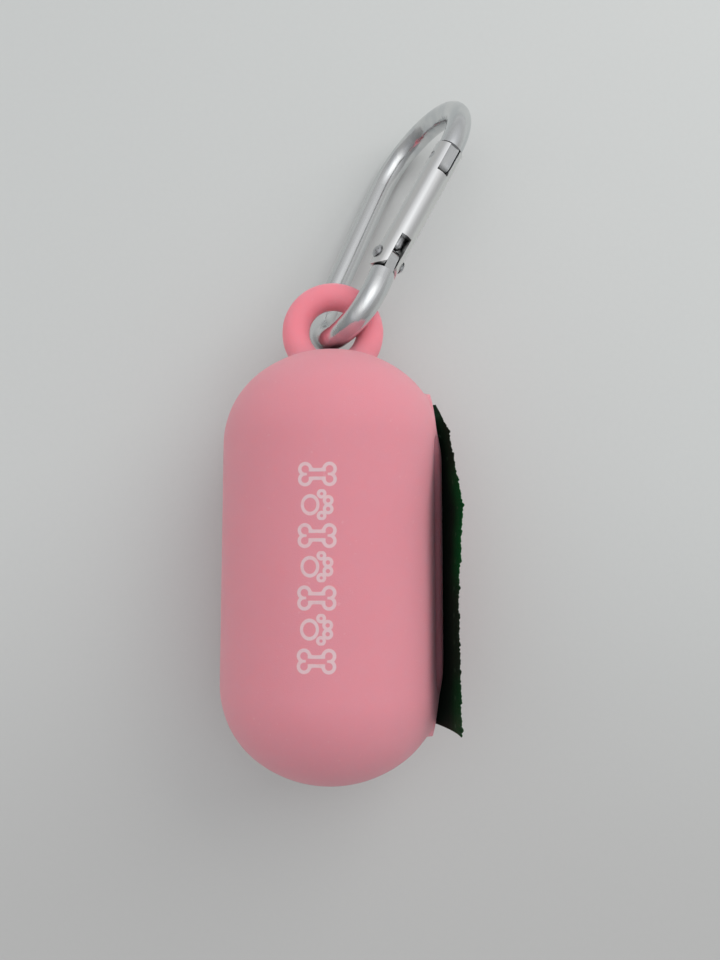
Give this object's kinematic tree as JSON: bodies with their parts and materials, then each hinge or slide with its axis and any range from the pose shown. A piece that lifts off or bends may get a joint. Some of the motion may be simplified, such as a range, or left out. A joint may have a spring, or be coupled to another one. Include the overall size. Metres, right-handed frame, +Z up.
{
  "type": "dog waste bag dispenser",
  "caption": "Soft one-piece capsule with a lipped slit that pays out bags from a roll inside it, and a sprung key-ring clip through its moulded loop.",
  "frame": {"origin": "on the table, under the middle of the outline of the whole dispenser with its clip as it lies", "axes": "+Y along the capsule towards its loop and clip, +Z up from the table, +X towards the slit that the bags come out of"},
  "size_m": [0.0476, 0.135, 0.041],
  "materials": {
    "silicone": "matte pink silicone with a soft dusty sheen",
    "card": "plain spiral-wound grey-brown card",
    "film": "thin dark green polythene film, creased",
    "clip_metal": "polished aluminium with fine lengthwise streaks",
    "pin_steel": "plain bright steel, darker at the rivet's heads"
  },
  "bodies": {
    "casing": {"casing": "silicone", "bag_lead": "film"},
    "roll": {"roll_core": "card", "bag_roll": "film"},
    "tail": {"bag_tail": "film"},
    "clip": {"clip_frame": "clip_metal", "gate_rivet": "pin_steel"},
    "gate": {"clip_gate": "clip_metal", "latch_pin": "pin_steel", "gate_spring": "pin_steel"},
    "plunger": {"gate_plunger": "pin_steel"}
  },
  "joints": [
    {"name": "clip_swing", "type": "hinge", "parent": "casing", "child": "clip", "pos_m": [-0.00333, 0.01672, 0.0205], "axis": [0, 0, 1], "range_deg": [-30, 45]},
    {"name": "gate_hinge", "type": "hinge", "parent": "clip", "child": "gate", "pos_m": [0.00731, 0.02957, 0.02524], "axis": [-0.7653, 0.426, 0.4824], "range_deg": [0, 27], "stiffness_Nm_per_rad": 0.004, "springref_deg": -28.65},
    {"name": "plunger_slide", "type": "slide", "parent": "gate", "child": "plunger", "axis": [0.4731, 0.8806, -0.0271], "range_m": [0, 0.0007], "stiffness_N_per_m": 0.5, "springref_m": -0.004, "deforming": ["gate_spring"]},
    {"name": "roll_spin", "type": "hinge", "parent": "casing", "child": "roll", "pos_m": [-0.00333, -0.02727, 0.02035], "axis": [0, 1, 0], "range_deg": [0, 74]},
    {"name": "bag_pull", "type": "slide", "parent": "casing", "child": "tail", "axis": [1, 0, 0], "range_m": [0, 0.0201]}
  ],
  "couplings": [
    {"joint": "plunger_slide", "follows": "gate_hinge", "m_per_rad": 0.0013},
    {"joint": "bag_pull", "follows": "roll_spin", "m_per_rad": 0.0155}
  ]
}
